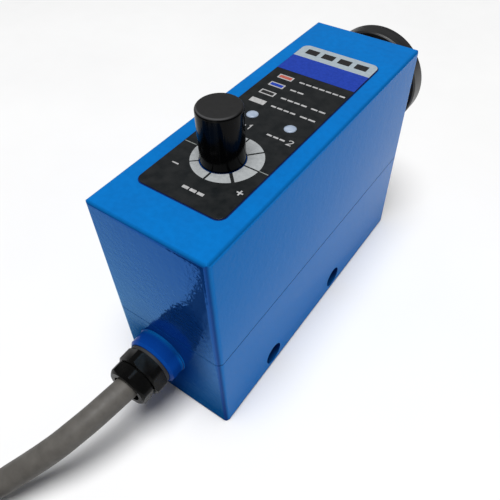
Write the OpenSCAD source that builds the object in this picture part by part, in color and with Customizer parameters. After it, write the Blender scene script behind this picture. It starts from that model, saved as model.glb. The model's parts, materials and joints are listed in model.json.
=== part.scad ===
// Photoelectric mark sensor: a painted two-part metal housing with a lens
// barrel at one end, a cable gland at the other and a sensitivity knob on top.
//
// Frame: the origin is the centre of the housing's bottom face. +Z is up,
// +Y runs along the housing towards the lens, and +X is across its width.

/* [Housing] */
// Width across the two side faces
body_w = 31; // [30:0.5:34]
// Length between the two end faces
body_l = 90; // [88:1:96]
// Height from the base to the painted top face
body_h = 62.5; // [61:0.5:66]
// Height of the joint between the lower and the upper housing
seam_z = 28.2; // [27:0.1:29]
// Wall thickness of both shells
wall = 2.2; // [1.8:0.1:2.4]
// Radius on the upright edges
edge_r = 1.6; // [1.2:0.1:2.5]
// Radius on the edges round the top face
top_r = 1.3; // [0.9:0.1:1.8]
// Radius on the edges round the base
base_r = 0.9; // [0.5:0.1:1.2]

/* [Mounting holes] */
// Distance between the two cross holes
mount_pitch = 32.4; // [30:0.1:34]
// Height of the cross holes above the base
mount_z = 4.8; // [4.5:0.1:5]
// Radius of the clearance hole for an M3 screw
mount_r = 1.7; // [1.6:0.1:1.8]
// Radius of the recess for the screw head
counterbore_r = 3.2; // [3:0.1:3.5]
// Depth of the recess for the screw head
counterbore_depth = 5; // [4:0.5:6]

/* [Knob] */
// Radius of the sensitivity knob
knob_r = 4.85; // [4.5:0.05:5.1]
// Height of the knob above the painted top face
knob_top = 12.9; // [11:0.1:15]
// Place of the knob along the housing
knob_y = -20; // [-21:0.5:-19]

/* [Lens end] */
// Outer radius of the lens ring
ring_r = 14.7; // [14.5:0.1:15]
// Height of the optical axis above the base
axis_z = 45.7; // [45:0.1:46]
// Gap between the end face and the back of the lens ring
ring_gap = 5.6; // [5:0.1:6]
// Width of the lens ring along the axis
ring_w = 5.4; // [5:0.1:6]

/* [Cable end] */
// Place of the cable boss across the width
boss_x = -3.1; // [-4:0.1:0]
// Height of the cable boss above the base
boss_z = 18.6; // [18:0.1:19]
// Radius of the cable boss
boss_r = 6.8; // [6.5:0.1:7]
// Length of the cable boss
boss_l = 4.4; // [4:0.1:5]
// Radius of the cable
cable_r = 3; // [2.8:0.1:3]

/* [Hidden] */
$fn = 96;

// Clearance of a fitted piece, and of the turning shaft, all round
fit_gap = 0.05;
shaft_gap = 0.1;

// Overshoot of a cutting shape past the face that it cuts
cut = 1;

// Depth to which an inside rib or post runs into the floor and the walls
root = 1;

// Housing joint: the lip closes to a hairline and the gasket lies inside it
joint_gap = 0.2;
lower_top = seam_z - joint_gap / 2;
upper_bottom = seam_z + joint_gap / 2;
lip_w = 0.7;
gasket_bottom = seam_z - 0.7;
roof_z = body_h - 2.5;
floor_z = 2.5;
inner_w = body_w - 2 * wall;
inner_l = body_l - 2 * wall;
inner_corner_r = 1;

// Housing screws in the four corner columns
screw_r = 1.5;
screw_head_r = 2.75;
screw_head_h = 2.3;
screw_sink = 3.2;
screw_socket_r = 1.45;
screw_socket_depth = 1.2;
column = 7;
column_x = inner_w / 2 - column / 2;
column_y = inner_l / 2 - column / 2;
post_top = upper_bottom + 6.5;
screw_tip = post_top - 2;

// Cross holes
mount_y = [-23.4, -23.4 + mount_pitch];
rib_w = 12;
rib_top = 10;

// Printed face
label_min = [-10.8, -35];
label_max = [10.9, 30.7];
label_t = 0.25;
label_r = 1.9;
label_hole_r = 5.05;
window_r = 1.4;
window_at = [[-4.1, -3.6], [6.1, -3.7]];
window_flange = 1.5;
led_r = 1.5;

// Adjuster under the top face
shaft_r = 3;
shaft_flat = 2;
knob_bottom = body_h + 0.6;
knob_edge = 0.7;
knob_socket = 8.6;
index_w = 0.8;
index_depth = 0.35;
case_r = 8;
case_wall = 1;
case_top = roof_z - 2.2;
case_bottom = 48;
track_z = case_bottom + case_wall + fit_gap;
wiper_z = 51.5;
seal_r = 0.75;
seal_z = roof_z + 2 * seal_r;
pin_r = 0.4;
pin_x = [-5, 0, 5];

// Boards
board_t = 1.6;
board_w = 23;
board_l = 66;
power_z = 12;
main_z = 30;
indicator_z = 45;
terminal_x = -5;
terminal_y = -25.5;
terminal_pitch = 2.3;
spacer_at = [for (x = [-9, 9], y = [-29, 29]) [x, y]];
spacer_r = 2.6;
stud_r = 1.25;
stud_l = 4.5;

// Optical train along the lens axis
ring_back = body_l / 2 + ring_gap;
ring_front = ring_back + ring_w;
barrel_r = 11;
barrel_bore_r = 9;
barrel_back = 30;
spigot_r = 13;
lens_seat = ring_back + 2.4;
lens_edge = 1.2;
lens_r = 12.3;
lip_back = ring_front - 0.6;
block_w = 21;
block_y = [6, 30];
block_z = [34, 57];
splitter_y = 18;
aperture_t = 0.5;
emitter_r = 2.5;
emitter_y = [1.4, 8];

// Gland stack, from the end face outwards
boss_end = -body_l / 2 - boss_l;
hex_back = boss_end - 0.8;
hex_front = hex_back - 3.8;
nut_front = hex_front - 3.7;
gland_thread_r = 5;
gland_neck_r = 5.6;
nut_thread_r = 4.9;
gland_bore_r = 3.9;
thread_l = 2;
cable_inner_y = -40;

// Cord: route of the stretch that isn't wound, from the gland to the hank
CORD_ROUTE = [
    [-3.1, -55, 18.6], [-3.4, -58, 18.7], [-4.1, -62.5, 18.3], [-5, -67, 17.6],
    [-6.2, -71, 16.6], [-7.7, -75, 15.2], [-9.5, -78.5, 13.6], [-11.6, -82, 11.8],
    [-13.8, -85.5, 10], [-16, -88.8, 8.3], [-19.9, -93.1, 6.3], [-23.9, -97.5, 4.8],
    [-28, -102.1, 3.7], [-31.4, -106.6, 3.2], [-34.3, -111.2, 3], [-36.5, -116.4, 3],
    [-38, -121.5, 3], [-38.8, -126, 3], [-39, -129, 3]
];
cable_split_y = CORD_ROUTE[0].y;

// Hank: long turns in two lanes and four layers, lying in line with the housing
hank_at = [-12, -129];
hank_run = 50;
hank_r = 24;
hank_layers = 4;
inner_lane = hank_r - cable_r;
outer_lane = hank_r + cable_r;
layer_h = 2 * cable_r;
top_z = (2 * hank_layers - 1) * cable_r;
end_run = 8;

// Conductors
wire_r = 0.6;
lead_l = 34;
lead_gap = 0.15;
ferrule_l = 7;
ferrule_r = 0.7;
sleeve_reach = cable_r + ferrule_r + 0.1;
lead_place = [[-0.9, -0.9], [0.9, -0.9], [-0.9, 0.9], [0.9, 0.9]];
lead_fan = [-2.2, 0.8, -0.7, 2.3];
terminal_slot = [0, 2, 1, 3];

// Colours
paint_blue = [0.07, 0.36, 0.72];
label_black = [0.09, 0.09, 0.1];
moulded_black = [0.05, 0.05, 0.06];
anodised_black = [0.12, 0.12, 0.13];
rubber_black = [0.03, 0.03, 0.035];
steel = [0.7, 0.71, 0.72];
brass = [0.8, 0.65, 0.3];
clear_glass = [0.75, 0.86, 0.92, 0.45];
board_green = [0.05, 0.32, 0.16];
cable_grey = [0.42, 0.41, 0.39];
wire_colours = [[0.35, 0.17, 0.08], [0.1, 0.2, 0.65], [0.04, 0.04, 0.04], [0.92, 0.92, 0.9]];

// ---------- shapes used by several pieces ----------

// Flat rectangle with round corners
module rounded_rect(w, l, r) {
    square([w - 2 * r, l], center = true);
    square([w, l - 2 * r], center = true);
    for (x = [-1, 1], y = [-1, 1])
        translate([x * (w / 2 - r), y * (l / 2 - r)])
            circle(r);
}

// Flat rectangle standing on y = 0, with only its two upper corners round
module arched_rect(w, h, r) {
    translate([-w / 2, 0])
        square([w, h - r]);
    translate([-w / 2 + r, 0])
        square([w - 2 * r, h]);
    for (x = [-1, 1])
        translate([x * (w / 2 - r), h - r])
            circle(r);
}

// Block with round upright edges and round edges at its far end only
module rounded_block(h, r_end) {
    intersection() {
        linear_extrude(h)
            rounded_rect(body_w, body_l, edge_r);
        rotate([90, 0, 0])
            linear_extrude(body_l, center = true)
                arched_rect(body_w, h, r_end);
        rotate([90, 0, 90])
            linear_extrude(body_w, center = true)
                arched_rect(body_l, h, r_end);
    }
}

// Cylinder along +Y between two places on the Y axis
module along_y(r, y0, y1, x = 0, z = 0, r2 = undef) {
    translate([x, y0, z])
        rotate([-90, 0, 0])
            cylinder(r1 = r, r2 = is_undef(r2) ? r : r2, h = y1 - y0);
}

// Turned piece about the lens axis, from points given as [radius, y]
module turned_about_lens(outline) {
    translate([0, 0, axis_z])
        rotate([-90, 0, 0])
            rotate_extrude()
                polygon(outline);
}

// Turned piece about the gland axis, from points given as [radius, distance out of the end face]
module turned_about_gland(outline) {
    translate([boss_x, -body_l / 2, boss_z])
        rotate([90, 0, 0])
            rotate_extrude()
                polygon(outline);
}

// Hexagonal prism on the gland axis with its corners turned round and its rims chamfered
module gland_hex(corner_r, y0, y1, turn, round_r, chamfer) {
    intersection() {
        translate([boss_x, y0, boss_z])
            rotate([-90, -turn, 0])
                cylinder(r = corner_r, h = y1 - y0, $fn = 6);
        union() {
            along_y(round_r - chamfer, y0, y0 + chamfer, boss_x, boss_z, round_r);
            along_y(round_r, y0 + chamfer, y1 - chamfer / 2, boss_x, boss_z);
            along_y(round_r, y1 - chamfer / 2, y1, boss_x, boss_z, round_r - chamfer / 2);
        }
    }
}

function unit(v) = v / norm(v);
function flat_angle(a) = [cos(a), sin(a)];

// Directions along a list of points; the first one may be given
function directions(route, start) = [
    for (i = [0:len(route) - 1])
        i == 0 && !is_undef(start) ? start
        : unit(route[min(i + 1, len(route) - 1)] - route[max(i - 1, 0)])
];

// Tube swept along a route that is nowhere upright
module swept_tube(route, r, sides, start = undef) {
    heading = directions(route, start);
    across = [for (t = heading) unit(cross(t, [0, 0, 1]))];
    above = [for (i = [0:len(route) - 1]) cross(across[i], heading[i])];
    points = [
        for (i = [0:len(route) - 1], k = [0:sides - 1])
            route[i] + r * cos(360 * k / sides) * across[i] + r * sin(360 * k / sides) * above[i]
    ];
    skin = [
        for (i = [0:len(route) - 2], k = [0:sides - 1])
            let (a = i * sides + k, b = i * sides + (k + 1) % sides)
                each [[a, a + sides, b], [b, a + sides, b + sides]]
    ];
    last = (len(route) - 1) * sides;
    polyhedron(points, concat(
        skin,
        [[for (k = [0:sides - 1]) k]],
        [[for (k = [sides - 1:-1:0]) last + k]]
    ));
}

// Board with its four spacer holes
module drilled_board(z) {
    difference() {
        translate([0, 0, z])
            linear_extrude(board_t)
                rounded_rect(board_w, board_l, 1);
        for (at = spacer_at)
            translate([at.x, at.y, z - cut])
                cylinder(r = stud_r + 0.1, h = board_t + 2 * cut);
    }
}

// ---------- housing ----------

module upper_housing() {
    color(paint_blue)
    difference() {
        union() {
            difference() {
                translate([0, 0, upper_bottom])
                    rounded_block(body_h - upper_bottom, top_r);
                translate([0, 0, upper_bottom - cut])
                    linear_extrude(roof_z - upper_bottom + cut)
                        rounded_rect(inner_w, inner_l, inner_corner_r);
            }
            for (x = [-1, 1], y = [-1, 1])
                translate([x * column_x - column / 2, y * column_y - column / 2, upper_bottom])
                    cube([column, column, post_top - upper_bottom]);
        }
        for (x = [-1, 1], y = [-1, 1])
            translate([x * column_x, y * column_y, upper_bottom - cut])
                cylinder(r = screw_r + fit_gap, h = screw_tip - upper_bottom + cut + 0.5);
        along_y(barrel_r + fit_gap, body_l / 2 - wall - cut, body_l / 2 + cut, 0, axis_z);
        translate([0, knob_y, roof_z - cut]) {
            cylinder(r = shaft_r + shaft_gap, h = body_h - roof_z + 2 * cut);
            cylinder(r = shaft_r + 2 * (seal_r + fit_gap), h = seal_z - roof_z + cut);
        }
        for (at = window_at)
            translate([at.x, at.y, roof_z - cut])
                cylinder(r = window_r + fit_gap, h = body_h - roof_z + 2 * cut);
    }
}

module lower_housing() {
    color(paint_blue)
    difference() {
        union() {
            difference() {
                translate([0, 0, lower_top])
                    mirror([0, 0, 1])
                        rounded_block(lower_top, base_r);
                translate([0, 0, floor_z])
                    linear_extrude(lower_top)
                        rounded_rect(inner_w, inner_l, inner_corner_r);
                gasket_ring(gasket_bottom, lower_top + cut, 0);
            }
            for (x = [-1, 1], y = [-1, 1])
                translate([x * column_x - column / 2, y * column_y - column / 2, root])
                    cube([column, column, upper_bottom - root]);
            for (y = mount_y)
                translate([-inner_w / 2 - root, y - rib_w / 2, root])
                    cube([inner_w + 2 * root, rib_w, rib_top - root]);
            for (at = spacer_at)
                translate([at.x, at.y, root])
                    cylinder(r = spacer_r, h = power_z - root);
            cable_boss();
        }
        for (x = [-1, 1], y = [-1, 1])
            translate([x * column_x, y * column_y, -cut]) {
                cylinder(r = screw_r + 0.2, h = upper_bottom + 2 * cut);
                cylinder(r = screw_head_r + 0.3, h = screw_sink + cut);
            }
        for (y = mount_y)
            cross_hole(y);
        for (at = spacer_at)
            translate([at.x, at.y, power_z - stud_l - 0.5])
                cylinder(r = stud_r + fit_gap, h = stud_l + 0.5 + cut);
        along_y(gland_thread_r + fit_gap, boss_end - cut, -body_l / 2 + wall + cut, boss_x, boss_z);
    }
}

// Clearance hole right across the housing, with a head recess at each side
module cross_hole(y) {
    translate([-body_w / 2 - cut, y, mount_z])
        rotate([0, 90, 0])
            cylinder(r = mount_r, h = body_w + 2 * cut);
    for (side = [-1, 1])
        translate([side * (body_w / 2 + cut), y, mount_z])
            rotate([0, -90 * side, 0])
                cylinder(r = counterbore_r, h = counterbore_depth + cut);
}

// Round boss for the gland, with a small root cone and a chamfered rim
module cable_boss() {
    flare = 0.25;
    chamfer = 0.6;
    turned_about_gland([
        [0, -root], [boss_r + flare, -root], [boss_r + flare, 0.2], [boss_r, 0.2 + flare],
        [boss_r, boss_l - chamfer], [boss_r - chamfer, boss_l], [0, boss_l]
    ]);
}

module gasket_ring(z0, z1, gap) {
    translate([0, 0, z0])
        linear_extrude(z1 - z0)
            difference() {
                rounded_rect(body_w - 2 * lip_w - 2 * gap, body_l - 2 * lip_w - 2 * gap, edge_r - lip_w);
                rounded_rect(inner_w, inner_l, inner_corner_r);
            }
}

module housing_gasket() {
    color(rubber_black)
    difference() {
        gasket_ring(gasket_bottom, upper_bottom, fit_gap);
        for (x = [-1, 1], y = [-1, 1])
            translate([x * column_x - column / 2, y * column_y - column / 2, gasket_bottom - cut])
                cube([column, column, upper_bottom - gasket_bottom + 2 * cut]);
    }
}

module housing_screws() {
    color(steel)
    for (x = [-1, 1], y = [-1, 1])
        translate([x * column_x, y * column_y, screw_sink])
            difference() {
                union() {
                    translate([0, 0, -screw_head_h])
                        cylinder(r = screw_head_r, h = screw_head_h);
                    cylinder(r = screw_r, h = screw_tip - screw_sink);
                }
                translate([0, 0, -screw_head_h - cut])
                    cylinder(r = screw_socket_r, h = screw_socket_depth + cut, $fn = 6);
            }
}

module face_label() {
    size = label_max - label_min;
    middle = (label_max + label_min) / 2;
    color(label_black)
    difference() {
        translate([middle.x, middle.y, body_h])
            linear_extrude(label_t)
                rounded_rect(size.x, size.y, label_r);
        translate([0, knob_y, body_h - cut])
            cylinder(r = label_hole_r, h = label_t + 2 * cut);
        for (at = window_at)
            translate([at.x, at.y, body_h - cut])
                cylinder(r = window_r + fit_gap, h = label_t + 2 * cut);
    }
}

// ---------- output indicators ----------

module output_window(at) {
    color([0.62, 0.7, 0.82])
    translate([at.x, at.y, roof_z - window_flange]) {
        cylinder(r = window_r, h = body_h - roof_z + window_flange + label_t);
        cylinder(r = window_r + 0.7, h = window_flange);
    }
}
module output_window_1() { output_window(window_at[0]); }
module output_window_2() { output_window(window_at[1]); }

module output_led(at, colour) {
    led_base = indicator_z + board_t;
    dome_z = roof_z - window_flange - led_r - 0.5;
    color(colour)
    translate([at.x, at.y, 0]) {
        translate([0, 0, led_base])
            cylinder(r = led_r + 0.4, h = 1);
        translate([0, 0, led_base])
            cylinder(r = led_r, h = dome_z - led_base);
        translate([0, 0, dome_z])
            sphere(r = led_r);
    }
}
module output_led_1() { output_led(window_at[0], [0.2, 0.75, 0.3]); }
module output_led_2() { output_led(window_at[1], [0.85, 0.2, 0.15]); }

module indicator_board() {
    color(board_green)
    difference() {
        translate([-11, -31.5, indicator_z])
            cube([22, 31, board_t]);
        for (x = pin_x)
            translate([x, knob_y, indicator_z - cut])
                cylinder(r = pin_r + 0.15, h = board_t + 2 * cut);
    }
}

// ---------- sensitivity adjuster ----------

module adjuster_knob() {
    knob_h = body_h + knob_top - knob_bottom;
    color(moulded_black)
    difference() {
        translate([0, knob_y, knob_bottom])
            rotate_extrude()
                union() {
                    square([knob_r, knob_h - knob_edge]);
                    square([knob_r - knob_edge, knob_h]);
                    translate([knob_r - knob_edge, knob_h - knob_edge])
                        circle(knob_edge, $fn = 48);
                }
        translate([0, knob_y, knob_bottom - cut])
            intersection() {
                cylinder(r = shaft_r + fit_gap, h = knob_socket + cut + 0.4);
                translate([-knob_r, -knob_r, 0])
                    cube([2 * knob_r, knob_r + shaft_flat + fit_gap, knob_h]);
            }
        translate([-index_w / 2, knob_y + knob_r - index_depth, knob_bottom + 1])
            cube([index_w, cut, knob_h]);
    }
}

module adjuster_shaft() {
    shaft_top = knob_bottom + knob_socket;
    flat_z = knob_bottom - 0.2;
    color(steel)
    translate([0, knob_y, 0])
    difference() {
        translate([0, 0, wiper_z + 1])
            cylinder(r = shaft_r, h = shaft_top - wiper_z - 1);
        translate([-shaft_r - cut, shaft_flat, flat_z])
            cube([2 * (shaft_r + cut), shaft_r, shaft_top - flat_z + cut]);
    }
}

module adjuster_wiper() {
    color(brass)
    translate([0, knob_y, wiper_z]) {
        cylinder(r = 4.5, h = 1);
        translate([-0.8, 0, -0.8])
            cube([1.6, 6, 1.2]);
    }
}

module adjuster_case() {
    color([0.2, 0.22, 0.3])
    translate([0, knob_y, 0])
    difference() {
        union() {
            translate([0, 0, case_bottom])
                cylinder(r = case_r, h = case_top - case_bottom);
            translate([-8, -4, indicator_z + board_t])
                cube([16, 8, case_bottom - indicator_z - board_t]);
        }
        translate([0, 0, case_bottom + case_wall])
            cylinder(r = case_r - case_wall, h = wiper_z + 1.5 - case_bottom - case_wall);
        translate([0, 0, wiper_z])
            cylinder(r = shaft_r + shaft_gap, h = case_top);
        for (x = pin_x)
            translate([x, 0, indicator_z])
                cylinder(r = pin_r + 0.1, h = track_z - indicator_z);
    }
}

module adjuster_track() {
    color([0.15, 0.12, 0.1])
    translate([0, knob_y, track_z])
        rotate(-45)
            rotate_extrude(angle = 270)
                translate([4.2, 0])
                    square([2.4, 0.8]);
}

module adjuster_pins() {
    color(brass)
    for (x = pin_x)
        translate([x, knob_y, indicator_z - 1.5])
            cylinder(r = pin_r, h = case_bottom + case_wall - indicator_z + 1.5);
}

module shaft_seal() {
    color(rubber_black)
    translate([0, knob_y, seal_z - seal_r])
        rotate_extrude()
            translate([shaft_r + fit_gap + seal_r, 0])
                circle(seal_r, $fn = 32);
}

module seal_retainer() {
    color(steel)
    translate([0, knob_y, case_top])
        difference() {
            cylinder(r = 6, h = roof_z - case_top);
            translate([0, 0, -cut])
                cylinder(r = shaft_r + shaft_gap, h = roof_z - case_top + 2 * cut);
        }
}

// ---------- lens end ----------

module lens_barrel() {
    flange_r = 12.5;
    mouth_r = 10;
    mouth_depth = 1.4;
    color(anodised_black)
    turned_about_lens([
        [barrel_bore_r, barrel_back], [barrel_r, barrel_back], [barrel_r, body_l / 2],
        [flange_r, body_l / 2], [flange_r, ring_back], [spigot_r, ring_back],
        [spigot_r, lens_seat], [mouth_r, lens_seat], [mouth_r, lens_seat - mouth_depth],
        [barrel_bore_r, lens_seat - mouth_depth]
    ]);
}

module lens_ring() {
    chamfer = 0.4;
    spigot_gap_r = spigot_r + fit_gap;
    lens_gap_r = lens_r + 0.15;
    lip_r = 10.9;
    mouth_r = 11.6;
    slot_size = [1.8, 1.6, 1.6];
    color(anodised_black)
    difference() {
        turned_about_lens([
            [spigot_gap_r, ring_back], [ring_r - chamfer, ring_back], [ring_r, ring_back + chamfer],
            [ring_r, ring_front - chamfer], [ring_r - chamfer, ring_front], [mouth_r, ring_front],
            [lip_r, lip_back], [lens_gap_r, lip_back], [lens_gap_r, lens_seat],
            [spigot_gap_r, lens_seat]
        ]);
        for (side = [-1, 1])
            translate([side * spigot_r, ring_front, axis_z])
                cube(slot_size, center = true);
    }
}

module front_lens() {
    crown_r = 10.7;
    crown_h = 1.5;
    ball_r = (crown_r * crown_r + crown_h * crown_h) / (2 * crown_h);
    crown_back = lens_seat + lens_edge;
    color(clear_glass) {
        along_y(lens_r, lens_seat, crown_back, 0, axis_z);
        intersection() {
            translate([0, crown_back + crown_h - ball_r, axis_z])
                rotate([-90, 0, 0])
                    sphere(r = ball_r);
            along_y(crown_r, crown_back, crown_back + crown_h + 1, 0, axis_z);
        }
    }
}

module lens_seal() {
    section_r = (lip_back - lens_seat - lens_edge) / 2;
    color(rubber_black)
    translate([0, lip_back - section_r, axis_z])
        rotate([-90, 0, 0])
            rotate_extrude()
                translate([11.6, 0])
                    circle(section_r, $fn = 32);
}

module relay_lens() {
    ball_r = 22;
    half_t = 2.9;
    middle_y = 34.5;
    color(clear_glass)
    intersection() {
        along_y(barrel_bore_r - fit_gap, middle_y - half_t, middle_y + half_t, 0, axis_z);
        translate([0, middle_y + ball_r - half_t, axis_z])
            sphere(r = ball_r);
        translate([0, middle_y - ball_r + half_t, axis_z])
            sphere(r = ball_r);
    }
}

module lens_spacer() {
    spacer_bore_r = 8;
    spacer_y = [36.2, 44];
    outer_r = barrel_bore_r - fit_gap;
    color(anodised_black)
    turned_about_lens([
        [spacer_bore_r, spacer_y[0]], [outer_r, spacer_y[0]],
        [outer_r, spacer_y[1]], [spacer_bore_r, spacer_y[1]]
    ]);
}

module optics_block() {
    chamber = [16, 18, 17];
    plate_recess = 8.2;
    color(moulded_black)
    difference() {
        translate([-block_w / 2, block_y[0], block_z[0]])
            cube([block_w, block_y[1] - block_y[0], block_z[1] - block_z[0]]);
        translate([0, splitter_y, axis_z])
            cube(chamber, center = true);
        along_y(7.5, splitter_y, block_y[1] + cut, 0, axis_z);
        along_y(emitter_r + 0.1, block_y[0] - cut, splitter_y, 0, axis_z);
        translate([0, splitter_y, block_z[0] - cut])
            cylinder(r = 2, h = 6);
        translate([0, splitter_y, block_z[0]])
            cube([plate_recess, plate_recess, 2 * aperture_t + 0.2], center = true);
    }
}

module beam_splitter() {
    color(clear_glass)
    translate([0, splitter_y, axis_z])
        rotate([45, 0, 0])
            cube([14, 16, 1], center = true);
}

module emitter_led() {
    rim_t = 1;
    color([0.85, 0.95, 0.85]) {
        along_y(emitter_r, emitter_y[0] + rim_t, emitter_y[1], 0, axis_z);
        along_y(emitter_r + 0.4, emitter_y[0], emitter_y[0] + rim_t, 0, axis_z);
        translate([0, emitter_y[1], axis_z])
            sphere(r = emitter_r);
    }
}

module emitter_board() {
    color(board_green)
    translate([-9, emitter_y[0] - 1.2, main_z + board_t])
        cube([18, 1.2, 23]);
}

module aperture_plate() {
    color(steel)
    translate([0, splitter_y, block_z[0]])
        difference() {
            translate([-4, -4, 0])
                cube([8, 8, aperture_t]);
            translate([0, 0, -cut])
                cylinder(r = 0.6, h = aperture_t + 2 * cut);
        }
}

module receiver_photodiode() {
    color([0.12, 0.12, 0.14])
    translate([-2.5, splitter_y - 2.5, main_z + board_t])
        cube([5, 5, 1.8]);
}

// ---------- electronics ----------

module main_board() { color(board_green) drilled_board(main_z); }
module power_board() { color(board_green) drilled_board(power_z); }

module board_spacers() {
    spacer_h = main_z - power_z - board_t;
    color(brass)
    for (at = spacer_at)
        translate([at.x, at.y, power_z + board_t]) {
            difference() {
                cylinder(r = spacer_r, h = spacer_h, $fn = 6);
                translate([0, 0, spacer_h - 6])
                    cylinder(r = stud_r + fit_gap, h = 6 + cut);
            }
            translate([0, 0, -board_t - stud_l])
                cylinder(r = stud_r, h = board_t + stud_l + 0.5);
        }
}

module board_screws() {
    color(steel)
    for (at = spacer_at)
        translate([at.x, at.y, main_z + board_t])
            difference() {
                union() {
                    translate([0, 0, -board_t - 3.4])
                        cylinder(r = stud_r, h = board_t + 3.4);
                    cylinder(r = 2.2, h = 1.6);
                }
                translate([0, 0, 0.8])
                    cylinder(r = 1.2, h = 2, $fn = 6);
            }
}

module signal_chip() {
    color([0.08, 0.08, 0.09])
    translate([-3.5, -12, main_z + board_t])
        cube([7, 7, 1.4]);
}

module driver_chip() {
    color([0.08, 0.08, 0.09])
    translate([-4, 12, power_z + board_t])
        cube([8, 5, 1.6]);
}

module output_transistors() {
    color([0.08, 0.08, 0.09])
    for (x = [-6, 2])
        translate([x, -6, power_z + board_t])
            cube([4.5, 6.5, 2.3]);
}

module capacitors() {
    color([0.15, 0.2, 0.45])
    for (at = [[-6.5, 22], [0, 22], [6, -14]])
        translate([at.x, at.y, power_z + board_t])
            cylinder(r = 2.5, h = 6);
}

module terminal_block() {
    color([0.1, 0.45, 0.2])
    translate([terminal_x, terminal_y, power_z + board_t])
        difference() {
            cube([10, 6, 7]);
            for (k = [0:3])
                translate([terminal_pitch * (k + 0.65), 3.5, 4])
                    cylinder(r = 0.9, h = 5);
        }
}

// One conductor from the cable's inner end to its slot in the terminal block
function wire_route(k) = let (
    p = [boss_x, boss_z] + lead_place[k] * 0.9,
    slot_x = terminal_x + terminal_pitch * (terminal_slot[k] + 0.65)
) [
    [p.x, cable_inner_y, p.y],
    [p.x, cable_inner_y + 2, p.y],
    [lerp(p.x, slot_x, 0.35), -34, p.y + 0.4],
    [lerp(p.x, slot_x, 0.8), -30, 18.2],
    [slot_x, -27.5, 17.4],
    [slot_x, terminal_y, 17.2]
];
function lerp(a, b, t) = a + (b - a) * t;

module inner_wire(k) {
    color(wire_colours[k])
        swept_tube(wire_route(k), wire_r, 8);
}
module wire_brown() { inner_wire(0); }
module wire_blue() { inner_wire(1); }
module wire_black() { inner_wire(2); }
module wire_white() { inner_wire(3); }

// ---------- gland and cable ----------

module gland_body() {
    color(moulded_black)
    difference() {
        union() {
            gland_hex(6.6, hex_front, hex_back, 98, 6.2, 0.5);
            along_y(gland_neck_r, hex_back - 0.1, boss_end, boss_x, boss_z);
            along_y(gland_thread_r, boss_end - 0.1, -body_l / 2 + wall, boss_x, boss_z);
            along_y(nut_thread_r, hex_front - thread_l, hex_front + 0.1, boss_x, boss_z);
        }
        along_y(gland_bore_r, nut_front, -body_l / 2 + wall + cut, boss_x, boss_z);
    }
}

module gland_seal() {
    color(rubber_black)
    difference() {
        along_y(5.95, hex_back, boss_end, boss_x, boss_z);
        along_y(gland_neck_r + fit_gap, hex_back - cut, boss_end + cut, boss_x, boss_z);
    }
}

module gland_bush() {
    bush_front = hex_front - thread_l + 0.2;
    color(rubber_black)
    difference() {
        along_y(gland_bore_r - fit_gap, bush_front, -body_l / 2 + wall - 0.5, boss_x, boss_z);
        along_y(cable_r + fit_gap, nut_front, cable_inner_y, boss_x, boss_z);
    }
}

module gland_nut() {
    color(moulded_black)
    difference() {
        gland_hex(6, nut_front, hex_front - 0.15, 75, 5.7, 0.7);
        along_y(nut_thread_r + fit_gap, hex_front - thread_l - 0.1, hex_front + cut, boss_x, boss_z);
        along_y(cable_r + 0.75, nut_front - cut, hex_front, boss_x, boss_z);
    }
}

module cable_entry() {
    color(cable_grey)
        along_y(cable_r, cable_split_y, cable_inner_y, boss_x, boss_z);
}

module cord_run() {
    color(cable_grey)
        swept_tube(CORD_ROUTE, cable_r, 12, [0, -1, 0]);
}

// Section of the hank's one side, with x counted from the middle of its end bends
module hank_section() {
    translate([hank_r, (hank_layers - 1) * cable_r])
        rounded_rect(4 * cable_r, (hank_layers - 1) * layer_h, cable_r);
    translate([inner_lane, top_z - layer_h])
        square([layer_h, 2 * layer_h], center = true);
    translate([inner_lane, top_z])
        circle(cable_r);
}

// Outer shape of the wound turns, but for the last one on top of the outer lane
module cord_hank() {
    color(cable_grey)
    translate([hank_at.x, hank_at.y, 0]) {
        rotate_extrude(angle = 180)
            hank_section();
        translate([0, -hank_run, 0])
            rotate([0, 0, 180])
                rotate_extrude(angle = 180)
                    hank_section();
        for (side = [0, 1])
            mirror([side, 0, 0])
                rotate([90, 0, 0])
                    linear_extrude(hank_run)
                        hank_section();
    }
}

function ease(t) = t <= 0 ? 0 : t >= 1 ? 1 : t * t * (3 - 2 * t);

// Last turn: down the left side, round the far bend and a little way back up the right side
tail_route = concat(
    [for (t = [0:0.125:0.99]) [hank_at.x - outer_lane, hank_at.y - hank_run * t, top_z]],
    [
        for (a = [180:12:360])
            let (at = hank_at - [0, hank_run] + outer_lane * flat_angle(a)) [at.x, at.y, top_z]
    ],
    [for (t = [0.5, 1]) [hank_at.x + outer_lane, hank_at.y - hank_run + end_run * t, top_z]]
);

module cord_tail() {
    color(cable_grey)
        swept_tube(tail_route, cable_r, 12);
}

// Height of a sleeve's axis above the turn it lies on, at a distance outwards from the lane's middle
function sleeve_z(x) = top_z - layer_h + sqrt(sleeve_reach * sleeve_reach - max(x, 0) * max(x, 0));

// Place on a stripped conductor: t runs from 0 at the jacket to 1 at the tip
function lead_place_at(k, t) = let (
    across = lerp(lead_place[k].x, lead_fan[k], ease(t * 1.5)),
    y = hank_at.y - hank_run + end_run + lead_gap + t * lead_l
) [
    hank_at.x + outer_lane + across, y,
    lerp(top_z + lead_place[k].y, sleeve_z(across), ease(t))
];

module lead(k) {
    color(wire_colours[k])
        swept_tube([for (i = [0:7]) lead_place_at(k, i / 7)], wire_r, 8);
}
module lead_brown() { lead(0); }
module lead_blue() { lead(1); }
module lead_black() { lead(2); }
module lead_white() { lead(3); }

// Crimped end sleeves beyond the tips of the four conductors
module lead_ferrules() {
    color(steel)
    for (k = [0:3]) {
        tip = lead_place_at(k, 1);
        heading = unit(tip - lead_place_at(k, 0.93));
        translate(tip)
            rotate([0, 90, atan2(heading.y, heading.x)])
                cylinder(r = ferrule_r, h = ferrule_l);
    }
}

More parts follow.
